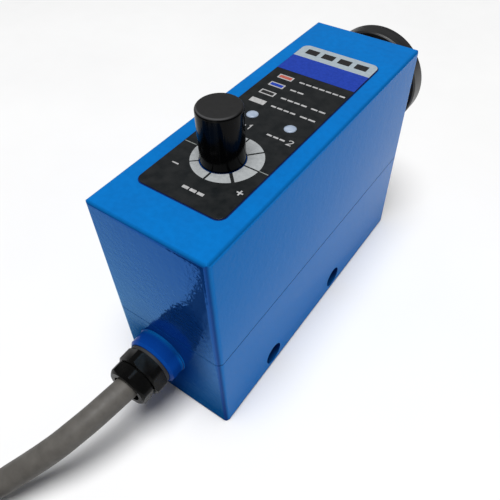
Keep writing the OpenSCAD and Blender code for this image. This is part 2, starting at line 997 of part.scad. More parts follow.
upper_housing();
lower_housing();
housing_gasket();
housing_screws();
face_label();
output_window_1();
output_window_2();
output_led_1();
output_led_2();
indicator_board();
adjuster_knob();
adjuster_shaft();
adjuster_wiper();
adjuster_case();
adjuster_track();
adjuster_pins();
shaft_seal();
seal_retainer();
lens_barrel();
lens_ring();
front_lens();
lens_seal();
relay_lens();
lens_spacer();
optics_block();
beam_splitter();
emitter_led();
emitter_board();
aperture_plate();
receiver_photodiode();
main_board();
power_board();
board_spacers();
board_screws();
signal_chip();
driver_chip();
output_transistors();
capacitors();
terminal_block();
wire_brown();
wire_blue();
wire_black();
wire_white();
gland_body();
gland_seal();
gland_bush();
gland_nut();
cable_entry();
cord_run();
cord_hank();
cord_tail();
lead_brown();
lead_blue();
lead_black();
lead_white();
lead_ferrules();
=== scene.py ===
import json
import math

import bmesh
import bpy
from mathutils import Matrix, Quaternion, Vector


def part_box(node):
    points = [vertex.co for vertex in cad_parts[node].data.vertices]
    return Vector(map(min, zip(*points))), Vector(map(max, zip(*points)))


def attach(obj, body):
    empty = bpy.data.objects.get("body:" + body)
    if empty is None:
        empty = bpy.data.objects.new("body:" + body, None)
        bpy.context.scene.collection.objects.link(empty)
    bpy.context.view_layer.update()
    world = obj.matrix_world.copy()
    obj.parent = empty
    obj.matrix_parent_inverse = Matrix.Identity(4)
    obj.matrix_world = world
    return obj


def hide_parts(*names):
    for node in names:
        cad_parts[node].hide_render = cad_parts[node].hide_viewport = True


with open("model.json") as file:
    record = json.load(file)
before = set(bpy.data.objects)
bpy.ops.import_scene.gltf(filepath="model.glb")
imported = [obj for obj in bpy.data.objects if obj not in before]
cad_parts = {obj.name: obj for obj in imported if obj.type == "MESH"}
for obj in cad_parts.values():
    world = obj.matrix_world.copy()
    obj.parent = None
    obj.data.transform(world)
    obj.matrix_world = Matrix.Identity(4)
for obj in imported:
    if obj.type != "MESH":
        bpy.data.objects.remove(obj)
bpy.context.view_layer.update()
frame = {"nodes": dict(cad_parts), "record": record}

MM = 0.001
nodes = frame["nodes"]


# ---------- camera ----------

# Place and aim, lens and sensor in millimetres, roll in degrees
CAMERA_EYE = Vector((56.34, -87.02, 131.69))
CAMERA_AIM = Vector((-3.645, -6.965, 19.925))
CAMERA_ROLL = 2.08
CAMERA_LENS = 38.135
CAMERA_SENSOR = 36


def make_camera():
    """The camera that shows the object from above its cable end."""
    eye = CAMERA_EYE * MM
    aim = CAMERA_AIM * MM
    roll = math.radians(CAMERA_ROLL)
    data = bpy.data.cameras.new("camera")
    data.sensor_width = CAMERA_SENSOR
    data.lens = CAMERA_LENS
    data.clip_start = 10 * MM
    camera = bpy.data.objects.new("camera", data)
    camera.location = eye
    camera.rotation_mode = "QUATERNION"
    camera.rotation_quaternion = (aim - eye).to_track_quat("-Z", "Y") @ Quaternion((0, 0, 1), -roll)
    bpy.context.scene.collection.objects.link(camera)
    bpy.context.scene.camera = camera


make_camera()


# ---------- meshes ----------

def mesh_piece(name, points, faces, material, body="housing", slot=None, smooth=True):
    """One closed mesh from points in metres, riding on a body."""
    data = bpy.data.meshes.new(name)
    data.from_pydata([tuple(p) for p in points], [], faces)
    data.validate()
    made = bmesh.new()
    made.from_mesh(data)
    bmesh.ops.recalc_face_normals(made, faces=made.faces)
    made.to_mesh(data)
    made.free()
    if smooth:
        data.shade_smooth()
    data.materials.append(material)
    piece = bpy.data.objects.new(name, data)
    bpy.context.scene.collection.objects.link(piece)
    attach(piece, body)
    return piece


class Build:
    """Collects closed solids that end up in one mesh."""

    def __init__(self):
        self.points = []
        self.faces = []

    def add(self, points, faces):
        first = len(self.points)
        self.points += points
        self.faces += [[first + i for i in face] for face in faces]

    def rings(self, rings, closed=False):
        """Skin between rings of points with the same count; open ends are capped."""
        n = len(rings[0])
        faces = []
        last = len(rings) if closed else len(rings) - 1
        for i in range(last):
            a = i * n
            b = (i + 1) % len(rings) * n
            for k in range(n):
                faces.append([a + k, a + (k + 1) % n, b + (k + 1) % n, b + k])
        if not closed:
            faces.append(list(range(n))[::-1])
            faces.append(list(range((len(rings) - 1) * n, len(rings) * n)))
        self.add([p for ring in rings for p in ring], faces)

    def slab(self, outline, low, high):
        """Upright prism on a flat outline; all in millimetres."""
        self.rings([[Vector((x, y, z)) * MM for x, y in outline] for z in (low, high)])

    def piece(self, name, material, **options):
        """The collected solids as one piece of the object."""
        return mesh_piece(name, self.points, self.faces, material, **options)


def frames_along(centres, start=None):
    """Heading and two cross directions at each point, without twist."""
    count = len(centres)
    heading = []
    for i in range(count):
        step = centres[min(i + 1, count - 1)] - centres[max(i - 1, 0)]
        heading.append(step.normalized())
    if start is not None:
        heading[0] = start
    side = heading[0].cross(Vector((0, 0, 1))).normalized()
    out = []
    for i, ahead in enumerate(heading):
        if i:
            side = (heading[i - 1].rotation_difference(ahead) @ side).normalized()
        out.append((ahead, side, side.cross(ahead).normalized()))
    return out


def tube_rings(centres, radii, sides, start=None):
    """Rings of a round tube along the centres; start is the heading of the first ring."""
    rings = []
    for centre, radius, (_, side, above) in zip(centres, radii, frames_along(centres, start)):
        rings.append([
            centre + radius * (math.cos(a) * side + math.sin(a) * above)
            for a in (math.tau * k / sides for k in range(sides))
        ])
    return rings


def smooth_path(points, parts):
    """Points along a Catmull-Rom curve through the given ones."""
    ends = [2 * points[0] - points[1]] + points + [2 * points[-1] - points[-2]]
    out = []
    for i in range(1, len(ends) - 2):
        p0, p1, p2, p3 = ends[i - 1:i + 3]
        for k in range(parts):
            t = k / parts
            out.append(0.5 * (
                2 * p1 + (p2 - p0) * t + (2 * p0 - 5 * p1 + 4 * p2 - p3) * t ** 2
                + (3 * p1 - p0 - 3 * p2 + p3) * t ** 3
            ))
    return out + [points[-1].copy()]


# ---------- materials ----------

class Look:
    """A procedural material: a Principled shader fed by noise in object space."""

    def __init__(self, name, **sockets):
        self.material = bpy.data.materials.new(name)
        self.material.use_nodes = True
        self.tree = self.material.node_tree
        self.shader = self.tree.nodes["Principled BSDF"]
        self.coordinates = self.node("ShaderNodeTexCoord")
        self.where = self.coordinates.outputs["Object"]
        self.normal = None
        for socket, value in sockets.items():
            self.set(socket.replace("_", " "), value)

    def set(self, socket, value):
        """Give one of the shader's sockets a value or another node's output."""
        self.feed(self.shader.inputs[socket], value)

    def node(self, kind, **inputs):
        """A new node with some of its sockets set."""
        made = self.tree.nodes.new(kind)
        for name, value in inputs.items():
            self.feed(made.inputs[name], value)
        return made

    def feed(self, socket, value):
        """Link an output to a socket, or set the socket to a number or a colour."""
        if isinstance(value, bpy.types.NodeSocket):
            self.tree.links.new(value, socket)
        elif socket.type == "RGBA":
            socket.default_value = (*value, 1)
        else:
            socket.default_value = value

    def noise(self, size, detail=2.0, roughness=0.5, stretch=(1, 1, 1)):
        """Noise whose blotches are about size millimetres across."""
        place = self.where
        if stretch != (1, 1, 1):
            mapping = self.node("ShaderNodeMapping", Vector=place)
            mapping.inputs["Scale"].default_value = stretch
            place = mapping.outputs["Vector"]
        made = self.node("ShaderNodeTexNoise", Vector=place, Scale=1 / (size * MM),
                         Detail=detail, Roughness=roughness)
        return made.outputs["Fac"]

    def ramp(self, value, low, high, to_low=0.0, to_high=1.0):
        """Straight change from to_low to to_high while the value goes from low to high."""
        made = self.node("ShaderNodeMapRange", Value=value)
        for name, number in (("From Min", low), ("From Max", high),
                             ("To Min", to_low), ("To Max", to_high)):
            self.feed(made.inputs[name], number)
        return made.outputs["Result"]

    def mix(self, factor, first, second):
        """Colour between two colours; a colour mix node's A, B and result are 6, 7 and 2."""
        made = self.tree.nodes.new("ShaderNodeMix")
        made.data_type = "RGBA"
        self.feed(made.inputs["Factor"], factor)
        self.feed(made.inputs[6], first)
        self.feed(made.inputs[7], second)
        return made.outputs[2]

    def colour(self, value):
        self.set("Base Color", value)

    def tint(self, first, second, size, low=0.35, high=0.65, **options):
        """Base colour that drifts between two close colours."""
        self.colour(self.mix(self.ramp(self.noise(size, **options), low, high), first, second))

    def rough(self, least, most, size, **options):
        """Roughness that drifts between two values."""
        self.set("Roughness", self.ramp(self.noise(size, **options), 0.3, 0.7, least, most))

    def grain(self, size, depth, **options):
        """Relief of a given depth in millimetres; later ones lie on earlier ones."""
        height = self.noise(size, **options)
        made = self.node("ShaderNodeBump", Height=height, Strength=1.0, Distance=depth * MM)
        if self.normal is not None:
            self.feed(made.inputs["Normal"], self.normal)
        self.normal = made.outputs["Normal"]
        self.set("Normal", self.normal)
        self.set("Coat Normal", self.normal)

    def upward(self):
        """How far the surface faces up: 1 on a level top, 0 on a wall."""
        self.turned = self.node("ShaderNodeSeparateXYZ", Vector=self.coordinates.outputs["Normal"])
        return self.turned.outputs["Z"]

    def times(self, first, second):
        """Product of two values."""
        made = self.tree.nodes.new("ShaderNodeMath")
        made.operation = "MULTIPLY"
        self.feed(made.inputs[0], first)
        self.feed(made.inputs[1], second)
        return made.outputs[0]


# The enamel's colours, by where it is on the housing: the side colour is painted light, the others are
# painted shade
SIDE_LIT_PAINT = (0.0035, 0.184, 0.60)
END_SHADED_PAINT = (0.006, 0.066, 0.33)
CORNER_SHADED_PAINT = (0.003, 0.060, 0.28)
BOSS_SHADED_PAINT = (0.003, 0.060, 0.34)
SHADED_PAINT = (0.001, 0.018, 0.12)

# The tints of its gloss, and the distance in millimetres within which other surfaces darken it with painted
# shade and dull its gloss
SIDE_GLOSS_TINT = (0.15, 0.6, 1.0)
END_GLOSS_TINT = (0.17, 0.88, 1.0)
AIR_REACH = 30


def painted(name, colour, shade):
    """Glossy enamel over cast metal, with painted light and shade: lighter on its sides, darker on its
    ends, rims, corners and boss and where the air is closed in; part metallic on the ends.
    """
    look = Look(name, IOR=1.16)
    rim = tuple(c * 0.55 for c in shade)
    up = look.upward()
    ends = look.times(look.turned.outputs["Y"], look.turned.outputs["Y"])
    sides = look.times(look.turned.outputs["X"], look.turned.outputs["X"])
    on_end = look.ramp(ends, 0.6, 0.9)
    on_side = look.ramp(sides, 0.6, 0.9)
    air = look.node("ShaderNodeAmbientOcclusion", Distance=AIR_REACH * MM)
    air.samples = 6
    openness = air.outputs["AO"]
    open_air = look.times(openness, openness)

    enamel_light_and_shade = look.mix(look.ramp(look.noise(9, detail=3), 0.35, 0.65), colour, shade)
    mottle = look.ramp(look.noise(1.3, detail=3, stretch=(1, 1, 0.35)), 0.35, 0.65, 0.0, 0.16)
    enamel_light_and_shade = look.mix(mottle, enamel_light_and_shade, rim)
    # Painted shade on the rounded rims between the top and the walls, in a darker copy of the enamel
    rim_shade = look.times(look.ramp(up, 0.08, 0.35), look.ramp(up, 0.93, 0.6))
    enamel_light_and_shade = look.mix(rim_shade, enamel_light_and_shade, rim)
    # Painted shade on the vertical corners, where an end meets a side
    corner_shade = look.times(look.ramp(ends, 0.2, 0.55), look.ramp(sides, 0.03, 0.2))
    enamel_light_and_shade = look.mix(corner_shade, enamel_light_and_shade, CORNER_SHADED_PAINT)
    # Painted light on the sides and painted shade on the ends
    enamel_light_and_shade = look.mix(on_side, enamel_light_and_shade, SIDE_LIT_PAINT)
    enamel_light_and_shade = look.mix(on_end, enamel_light_and_shade, END_SHADED_PAINT)
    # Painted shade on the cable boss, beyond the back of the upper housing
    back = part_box("upper_housing")[0].y
    place = look.node("ShaderNodeSeparateXYZ", Vector=look.where)
    boss_shade = look.ramp(place.outputs["Y"], back - 0.3 * MM, back - 1.2 * MM)
    enamel_light_and_shade = look.mix(boss_shade, enamel_light_and_shade, BOSS_SHADED_PAINT)
    # Painted shade where other surfaces close in the air round it, weaker on the sides
    shadow = look.times(look.ramp(openness, 0.35, 0.9, 0.92, 0.0), look.ramp(on_side, 0.0, 1.0, 1.0, 0.15))
    look.colour(look.mix(shadow, enamel_light_and_shade, SHADED_PAINT))

    look.set("Metallic", look.times(on_end, look.ramp(openness, 0.55, 0.95, 0.11, 0.55)))
    side_gloss = look.ramp(open_air, 0.2, 0.95, 0.0, 0.36)
    end_gloss = look.ramp(open_air, 0.5, 0.95, 0.0, 1.7)
    look.set("Specular IOR Level", look.ramp(on_end, 0.0, 1.0, side_gloss, end_gloss))
    look.set("Specular Tint", look.mix(on_end, SIDE_GLOSS_TINT, END_GLOSS_TINT))
    look.rough(0.07, 0.13, 3)
    look.grain(2.6, 0.04, detail=1.0)
    look.grain(1.0, 0.05, detail=1.0)
    return look.material


def moulded(name, colour, shade, rough, grain=0.25, depth=0.003, **sockets):
    """Plastic, rubber or resin with a fine grain."""
    look = Look(name, **sockets)
    look.tint(colour, shade, 2.5, detail=3)
    look.rough(rough[0], rough[1], 1.2, detail=3)
    look.grain(grain, depth, detail=2)
    return look.material


def two_finish(name):
    """Black plastic, glossy on its side and matt on its level top, with a painted highlight on its front
    rim.
    """
    look = Look(name, IOR=1.17)
    up = look.upward()
    top = look.ramp(up, 0.55, 0.9)
    streaky = look.ramp(look.noise(1.6, detail=2, stretch=(1, 1, 0.05)), 0.5, 0.72)
    side = look.mix(streaky, (0.0012, 0.0012, 0.0014), (0.008, 0.008, 0.008))
    flat = look.mix(look.noise(1.2, detail=4), (0.020, 0.020, 0.0205), (0.028, 0.028, 0.0285))
    # Painted highlight: a lighter band on the front rim of the knob's top
    front = look.ramp(look.turned.outputs["Y"], 0.0, -0.4)
    rim = look.times(look.times(look.ramp(up, 0.5, 0.75), look.ramp(up, 0.995, 0.95)), front)
    top_with_rim_highlight = look.mix(rim, flat, (0.075, 0.075, 0.078))
    look.colour(look.mix(top, side, top_with_rim_highlight))
    streaks = look.ramp(look.noise(0.8, detail=3, stretch=(1, 1, 0.08)), 0.3, 0.7, 0.1, 0.22)
    look.set("Roughness", look.ramp(top, 0.0, 1.0, streaks, 0.62))
    look.grain(0.8, 0.003, stretch=(1, 1, 0.1))
    look.grain(0.3, 0.001)
    return look.material


def turned_metal(name, colour, shade, rough, stretch, **sockets):
    """Metal with tool marks along the direction in which its grain is stretched."""
    look = Look(name, **sockets)
    look.tint(colour, shade, 1.5, detail=4, stretch=stretch)
    look.rough(rough[0], rough[1], 0.5, detail=4, stretch=stretch)
    look.grain(0.25, 0.0015, stretch=stretch)
    return look.material


def make_looks():
    """One material for each of the record's material slots."""
    made = {
        "housing_paint": painted("housing_paint", (0.0035, 0.168, 0.535), (0.0045, 0.156, 0.50)),
        "label_film": moulded("label_film", (0.008, 0.0098, 0.011), (0.015, 0.0165, 0.0175), (0.24, 0.38),
                              grain=0.5, depth=0.0012, IOR=1.42),
        "knob_plastic": two_finish("knob_plastic"),
        "gland_plastic": moulded("gland_plastic", (0.003, 0.003, 0.003), (0.005, 0.005, 0.0048),
                                 (0.22, 0.32), grain=0.4, depth=0.004, IOR=1.16),
        "barrel_black": turned_metal("barrel_black", (0.012, 0.012, 0.0125), (0.02, 0.02, 0.021),
                                     (0.3, 0.42), (0.3, 3, 0.3)),
        "rubber": moulded("rubber", (0.014, 0.014, 0.014), (0.022, 0.022, 0.022), (0.6, 0.75)),
        "steel": turned_metal("steel", (0.50, 0.51, 0.53), (0.62, 0.62, 0.62), (0.26, 0.42),
                              (0.5, 0.5, 3), Metallic=1.0),
        "brass": turned_metal("brass", (0.66, 0.47, 0.16), (0.74, 0.56, 0.24), (0.25, 0.4),
                              (0.5, 0.5, 3), Metallic=1.0),
        "board": moulded("board", (0.012, 0.12, 0.045), (0.018, 0.17, 0.07), (0.3, 0.45)),
        "chip_black": moulded("chip_black", (0.014, 0.014, 0.015), (0.024, 0.024, 0.025), (0.5, 0.65)),
        "inner_plastic": moulded("inner_plastic", (0.04, 0.06, 0.13), (0.06, 0.08, 0.16), (0.35, 0.5)),
        "cable_jacket": moulded("cable_jacket", (0.094, 0.088, 0.080), (0.118, 0.111, 0.101), (0.48, 0.62),
                                grain=0.6, depth=0.006, IOR=1.36),
        "wire_brown": moulded("wire_brown", (0.12, 0.045, 0.018), (0.15, 0.058, 0.025), (0.35, 0.5)),
        "wire_blue": moulded("wire_blue", (0.015, 0.06, 0.38), (0.02, 0.075, 0.44), (0.35, 0.5)),
        "wire_black": moulded("wire_black", (0.010, 0.010, 0.010), (0.017, 0.017, 0.017), (0.35, 0.5)),
        "wire_white": moulded("wire_white", (0.72, 0.72, 0.69), (0.8, 0.8, 0.77), (0.35, 0.5)),
        "window_resin": moulded("window_resin", (0.24, 0.31, 0.43), (0.40, 0.47, 0.58), (0.28, 0.4)),
        "led_resin": moulded("led_resin", (0.3, 0.55, 0.3), (0.4, 0.62, 0.36), (0.1, 0.2)),
    }
    glass = Look("lens_glass", Base_Color=(0.80, 0.88, 0.95), IOR=1.52, Transmission_Weight=1.0,
                 Coat_Weight=0.4, Coat_Tint=(0.75, 0.7, 1.0))
    glass.rough(0.01, 0.04, 4)
    glass.grain(5, 0.0004)
    made["lens_glass"] = glass.material
    return made


looks = make_looks()


# ---------- cable ----------

# Millimetres, as in the CAD model
CABLE_R = 3
HANK_AT = Vector((-12, -129))
HANK_RUN = 50
HANK_R = 24
HANK_LAYERS = 4
INNER_LANE = HANK_R - CABLE_R
OUTER_LANE = HANK_R + CABLE_R
LAYER_H = 2 * CABLE_R
TOP_Z = (2 * HANK_LAYERS - 1) * CABLE_R
END_RUN = 8

# Steps along a side, a bend and the last stretch, and how far a turn that climbs swings out
SIDE_STEPS = 10
BEND_STEPS = 30
END_STEPS = 4
CLIMB_BULGE = 2.3

# The route from inside the gland nut to the hank, in metres
CORD_ROUTE = [
    (-0.0031, -0.055, 0.0186), (-0.0034, -0.058, 0.0187), (-0.0041, -0.0625, 0.0183),
    (-0.005, -0.067, 0.0176), (-0.0062, -0.071, 0.0166), (-0.0077, -0.075, 0.0152),
    (-0.0095, -0.0785, 0.0136), (-0.0116, -0.082, 0.0118), (-0.0138, -0.0855, 0.01),
    (-0.016, -0.0888, 0.0083), (-0.0199, -0.0931, 0.0063), (-0.0239, -0.0975, 0.0048),
    (-0.028, -0.1021, 0.0037), (-0.0314, -0.1066, 0.0032), (-0.0343, -0.1112, 0.003),
    (-0.0365, -0.1164, 0.003), (-0.038, -0.1215, 0.003), (-0.0388, -0.126, 0.003),
    (-0.039, -0.129, 0.003),
]


def lerp(a, b, t):
    """Value at t on the straight way from a to b."""
    return a + (b - a) * t


def ease(t):
    """Smooth change from 0 to 1."""
    t = min(max(t, 0), 1)
    return t * t * (3 - 2 * t)


def hank_place(angle, radius, z, far=False):
    """Place on one of the hank's end bends; millimetres in, metres out."""
    a = math.radians(angle)
    middle = HANK_AT - Vector((0, HANK_RUN)) if far else HANK_AT
    return Vector((middle.x + radius * math.cos(a), middle.y + radius * math.sin(a), z)) * MM


def straight(x, y0, y1, z, steps=SIDE_STEPS):
    """Points along one of the hank's sides, without the last one."""
    return [Vector((x, lerp(y0, y1, i / steps), z)) * MM for i in range(steps)]


def hank_points():
    """Turns that change lane, then layer, by turns, always in the near end bend."""
    near = HANK_AT.y
    far = near - HANK_RUN
    places = []
    for turn in range(2 * HANK_LAYERS):
        lane = OUTER_LANE if turn % 4 in (0, 3) else INNER_LANE
        z = CABLE_R + LAYER_H * (turn // 2)
        last = turn == 2 * HANK_LAYERS - 1
        places += straight(HANK_AT.x - lane, near, far, z)
        for i in range(BEND_STEPS):
            places.append(hank_place(180 + 180 * i / BEND_STEPS, lane, z, far=True))
        if last:
            places += straight(HANK_AT.x + lane, far, far + END_RUN, z, END_STEPS)
            places.append(Vector((HANK_AT.x + lane, far + END_RUN, z)) * MM)
            break
        places += straight(HANK_AT.x + lane, far, near, z)
        side = 1 if lane == OUTER_LANE else -1
        for i in range(BEND_STEPS):
            angle = 180 * i / BEND_STEPS
            s = ease(i / BEND_STEPS)
            if turn % 2 == 0:
                places.append(hank_place(angle, lane - side * LAYER_H * s, z))
            else:
                bulge = side * CLIMB_BULGE * math.sin(math.pi * s)
                places.append(hank_place(angle, lane + bulge, z + LAYER_H * s))
    return places


def cable_path():
    """The whole jacket's middle line, from the gland to its cut end."""
    run = smooth_path([Vector(p) for p in CORD_ROUTE], 4)
    return run[:-1] + hank_points()


# Conductors: their places in the jacket, how far their tips fan out, their sizes, and the
# stretch that is drawn, from a little inside the jacket to just inside the sleeve's collar
LEAD_NAMES = ("brown", "blue", "black", "white")
LEAD_PLACE = ((-0.9, -0.9), (0.9, -0.9), (-0.9, 0.9), (0.9, 0.9))
LEAD_FAN = (-2.2, 0.8, -0.7, 2.3)
LEAD_L = 34
LEAD_R = 0.6
LEAD_STEPS = 28
LEAD_START = -0.1
LEAD_END = 1.02
SLEEVE_L = 7
SLEEVE_R = 0.7
SLEEVE_REACH = CABLE_R + SLEEVE_R + 0.1

# Insulating collar of a sleeve: distance from the conductor's tip, and radius
COLLAR_PROFILE = ((0, 0.62), (0, 0.68), (0.12, 0.73), (1.9, 0.71), (2.2, 0.68), (2.3, 0.6))


def lead_point(k, t):
    """Place on a stripped conductor: t runs from 0 at the jacket to 1 at the tip."""
    across = lerp(LEAD_PLACE[k][0], LEAD_FAN[k], ease(t * 1.5))
    rest = TOP_Z - LAYER_H + math.sqrt(SLEEVE_REACH ** 2 - max(across, 0) ** 2)
    z = lerp(TOP_Z + LEAD_PLACE[k][1], rest, ease(t))
    y = HANK_AT.y - HANK_RUN + END_RUN + t * LEAD_L
    return Vector((HANK_AT.x + OUTER_LANE + across, y, z)) * MM


def pin_profile():
    """Pressed metal of a sleeve, with four crimped grooves: distance from the tip, and radius."""
    profile = [(1.6, 0.5), (2.2, 0.6)]
    for groove in range(4):
        start = 2.6 + groove
        profile += [(start, 0.62), (start + 0.3, 0.5), (start + 0.6, 0.5), (start + 0.9, 0.62)]
    return profile + [(6.8, 0.58), (SLEEVE_L, 0.4)]


def make_leads():
    """Four conductors, each with a crimped sleeve: an insulating collar, then the pressed metal."""
    leads = []
    sleeves = Build()
    collars = Build()
    for k, name in enumerate(LEAD_NAMES):
        centres = [lead_point(k, lerp(LEAD_START, LEAD_END, i / LEAD_STEPS)) for i in range(LEAD_STEPS + 1)]
        radii = [LEAD_R * MM] * len(centres)
        wire = Build()
        wire.rings(tube_rings(centres, radii, 14))
        lead = wire.piece(f"conductor_{name}", looks[f"wire_{name}"], slot=f"wire_{name}")
        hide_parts(f"lead_{name}")
        leads.append(lead)
        tip = lead_point(k, 1)
        ahead = tip - lead_point(k, 0.93)
        ahead.z = 0
        ahead.normalize()
        for target, profile in ((collars, COLLAR_PROFILE), (sleeves, pin_profile())):
            target.rings(tube_rings(
                [tip + ahead * x * MM for x, _ in profile],
                [r * MM for _, r in profile], 20,
            ))
    metal = sleeves.piece("conductor_sleeves", looks["steel"], slot="steel")
    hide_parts("lead_ferrules")
    insulated = collars.piece("sleeve_collars", looks["wire_white"], slot="wire_white")
    return leads + [metal, insulated]


def hull_outline(centres, radius, steps=10):
    """Points and normals round a set of equal circles, given counter-clockwise."""
    out = []
    count = len(centres)
    for i, centre in enumerate(centres):
        before = centre - centres[i - 1]
        after = centres[(i + 1) % count] - centre
        a0 = math.atan2(-before.x, before.y)
        a1 = math.atan2(-after.x, after.y)
        while a1 < a0:
            a1 += math.tau
        for k in range(steps + 1):
            a = lerp(a0, a1, k / steps)
            normal = Vector((math.cos(a), math.sin(a)))
            out.append((centre + normal * radius, normal))
    return out


# A tie's flat strap with a raised wire in it, and its two twisted ends, in millimetres
TIE_HALF = 1.8
TIE_THICK = 0.35
TIE_RIDGE = (0.4, 0.25)
TIE_CLEAR = 0.02
TWIST_L = 11
TWIST_TURNS = 3
TWIST_R = 0.72
TWIST_WIRE_R = 0.7
TWIST_DROOP = 6
TWIST_STEPS = 44


def make_tie(name, centres, y, knot, heading):
    """Flat coated tie once round a bundle; its two ends are twisted together."""
    ridge, rise = TIE_RIDGE
    profile = ((-TIE_HALF, TIE_CLEAR), (TIE_HALF, TIE_CLEAR), (TIE_HALF, TIE_THICK),
               (ridge, TIE_THICK + rise), (-ridge, TIE_THICK + rise), (-TIE_HALF, TIE_THICK))
    strap = Build()
    rings = []
    for place, normal in hull_outline(centres, CABLE_R):
        ring = []
        for along, off in profile:
            at = place + normal * off
            ring.append(Vector((at.x, y + along, max(at.y, 0.01 + off * 0.4))) * MM)
        rings.append(ring)
    strap.rings(rings, closed=True)
    for phase in (0, math.pi):
        twisted = []
        for i in range(TWIST_STEPS + 1):
            t = i / TWIST_STEPS
            turn = phase + t * math.tau * TWIST_TURNS
            spread = TWIST_R * (1 - 0.2 * t)
            twisted.append(Vector((
                knot.x + heading * (0.6 + TWIST_L * t),
                y + spread * math.cos(turn),
                knot.y + spread * math.sin(turn) - TWIST_DROOP * ease(t) ** 2,
            )) * MM)
        strap.rings(tube_rings(twisted, [TWIST_WIRE_R * MM] * len(twisted), 8))
    return strap.piece(name, looks["rubber"], slot="rubber")


def make_ties():
    """Two ties round the left side of the hank and one round its right side."""
    left = HANK_AT.x - OUTER_LANE
    right = HANK_AT.x + INNER_LANE
    low, high, under = CABLE_R, TOP_Z, TOP_Z - LAYER_H
    near = HANK_AT.y - 8
    far = HANK_AT.y - 38
    both = [Vector((left, low)), Vector((left + LAYER_H, low)),
            Vector((left + LAYER_H, high)), Vector((left, high))]
    other = [Vector((right, low)), Vector((right + LAYER_H, low)),
             Vector((right + LAYER_H, under)), Vector((right, high))]
    knot_height = 14
    knot_left = Vector((left + LAYER_H + CABLE_R, knot_height))
    knot_right = Vector((right - CABLE_R, knot_height))
    return [
        make_tie("tie_left", both, near, knot_left, 1),
        make_tie("tie_right", other, near - 4, knot_right, -1),
        make_tie("tie_far", both, far, knot_left, 1),
    ]


def make_cable():
    """The jacket, with its conductors and ties."""
    path = cable_path()
    radii = [CABLE_R * MM] * len(path)
    body = Build()
    body.rings(tube_rings(path, radii, 32, Vector((0, -1, 0))))
    cable = body.piece("cable", looks["cable_jacket"], slot="cable_jacket")
    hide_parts("cord_run", "cord_hank", "cord_tail")
    extras = make_leads() + make_ties()


make_cable()


# ---------- finishes on the CAD nodes ----------

# Edge rounding in millimetres, and the angles in degrees that count as flat and as an edge
FLAT_ANGLE = 0.4
EDGE_ANGLE = 32
BEVELS = {
    "upper_housing": 0.22, "lower_housing": 0.22, "face_label": 0.05, "adjuster_knob": 0.12,
    "gland_body": 0.3, "gland_nut": 0.35, "lens_ring": 0.15, "lens_barrel": 0.1, "housing_screws": 0.1,
    "gland_seal": 0.08,
}


def finish_node(name, slot):
    """Give a CAD node its material and, where its edges show, a fine rounding."""
    node = nodes[name]
    node.data.materials.clear()
    node.data.materials.append(looks[slot])
    if name in BEVELS:
        normals = node.data.attributes.get("custom_normal")
        if normals:
            node.data.attributes.remove(normals)
        node.data.shade_smooth()
        weld = node.modifiers.new("weld", "WELD")
        weld.merge_threshold = 1e-6
        flat = node.modifiers.new("flat", "DECIMATE")
        flat.decimate_type = "DISSOLVE"
        flat.angle_limit = math.radians(FLAT_ANGLE)
        bevel = node.modifiers.new("bevel", "BEVEL")
        bevel.width = BEVELS[name] * MM
        bevel.segments = 3
        bevel.limit_method = "ANGLE"
        bevel.angle_limit = math.radians(EDGE_ANGLE)
        bevel.harden_normals = True


for part in frame["record"]["subparts"]:
    finish_node(part["node"], part["material_slot"])


# ---------- printed label ----------

# Millimetres: the ink's thickness, the knob's hole and the scale, which is printed a little off it
LABEL_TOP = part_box("face_label")[1].z / MM
PRINT = 0.03
KNOB_AT = Vector((0, -20))
HOLE_R = 5.1
SCALE_AT = Vector((0.7, -19.45))
SCALE_R = 7.84

# Gaps between the scale's sectors: direction in degrees, and half the gap's width
SCALE_GAPS = ((-90, 0.24), (-45, 0.36), (0, 0.19), (47, 0.22),
              (90, 0.19), (135, 0.19), (180, 0.17), (221, 0.17))

# The key's left and right edges, the middles of its framed rows, the ends of its plain one, and
# its bars in place of words: left, right, middle and how many bars
KEY_X = (-8.2, -4.1)
KEY_ROWS = (("supply", 13.6, "red"), ("ground", 9.6, "blue"), ("output", 5.6, "black"))
KEY_PLAIN_ROW = (0.65, 2.4)
KEY_BAR_H = 0.52
KEY_WORDS = ((-2.2, 10.2, 13.6, 7), (-2.3, 1.3, 9.6, 2), (-2.3, 4.7, 5.5, 4),
             (5.9, 9.6, 5.5, 2), (-2.4, 4.1, 1.5, 4), (5.4, 9.3, 1.5, 2))

# The two figures' strokes, from the left end of each figure
FIGURE_STROKES = (
    ((-0.1, 0.45), (0.35, 0.85), (0.35, -0.9)),
    ((0, 0.5), (0.2, 0.8), (0.6, 0.88), (1.0, 0.7), (1.05, 0.35), (0.7, -0.15),
     (0.05, -0.78), (1.15, -0.78)),
)


def ink(name, colour, shade):
    """Printing ink, a little uneven."""
    look = Look(name)
    look.tint(colour, shade, 0.6, detail=3)
    look.rough(0.28, 0.4, 1)
    look.grain(0.5, 0.0012)
    return look.material


inks = {
    "grey": ink("ink_grey", (0.345, 0.365, 0.375), (0.405, 0.425, 0.435)),
    "white": ink("ink_white", (0.38, 0.38, 0.38), (0.50, 0.50, 0.505)),
    "pale": ink("ink_pale", (0.335, 0.40, 0.442), (0.39, 0.455, 0.50)),
    "line": ink("ink_line", (0.20, 0.22, 0.21), (0.26, 0.28, 0.27)),
    "blue": ink("ink_blue", (0.008, 0.038, 0.325), (0.012, 0.048, 0.39)),
    "red": ink("ink_red", (0.42, 0.09, 0.06), (0.48, 0.12, 0.09)),
    # Dark navy for the painted shadow round the label film's edge
    "navy": ink("painted_label_shade", (0.001, 0.012, 0.11), (0.001, 0.018, 0.14)),
    "black": ink("ink_black", (0.014, 0.014, 0.015), (0.02, 0.02, 0.021)),
}


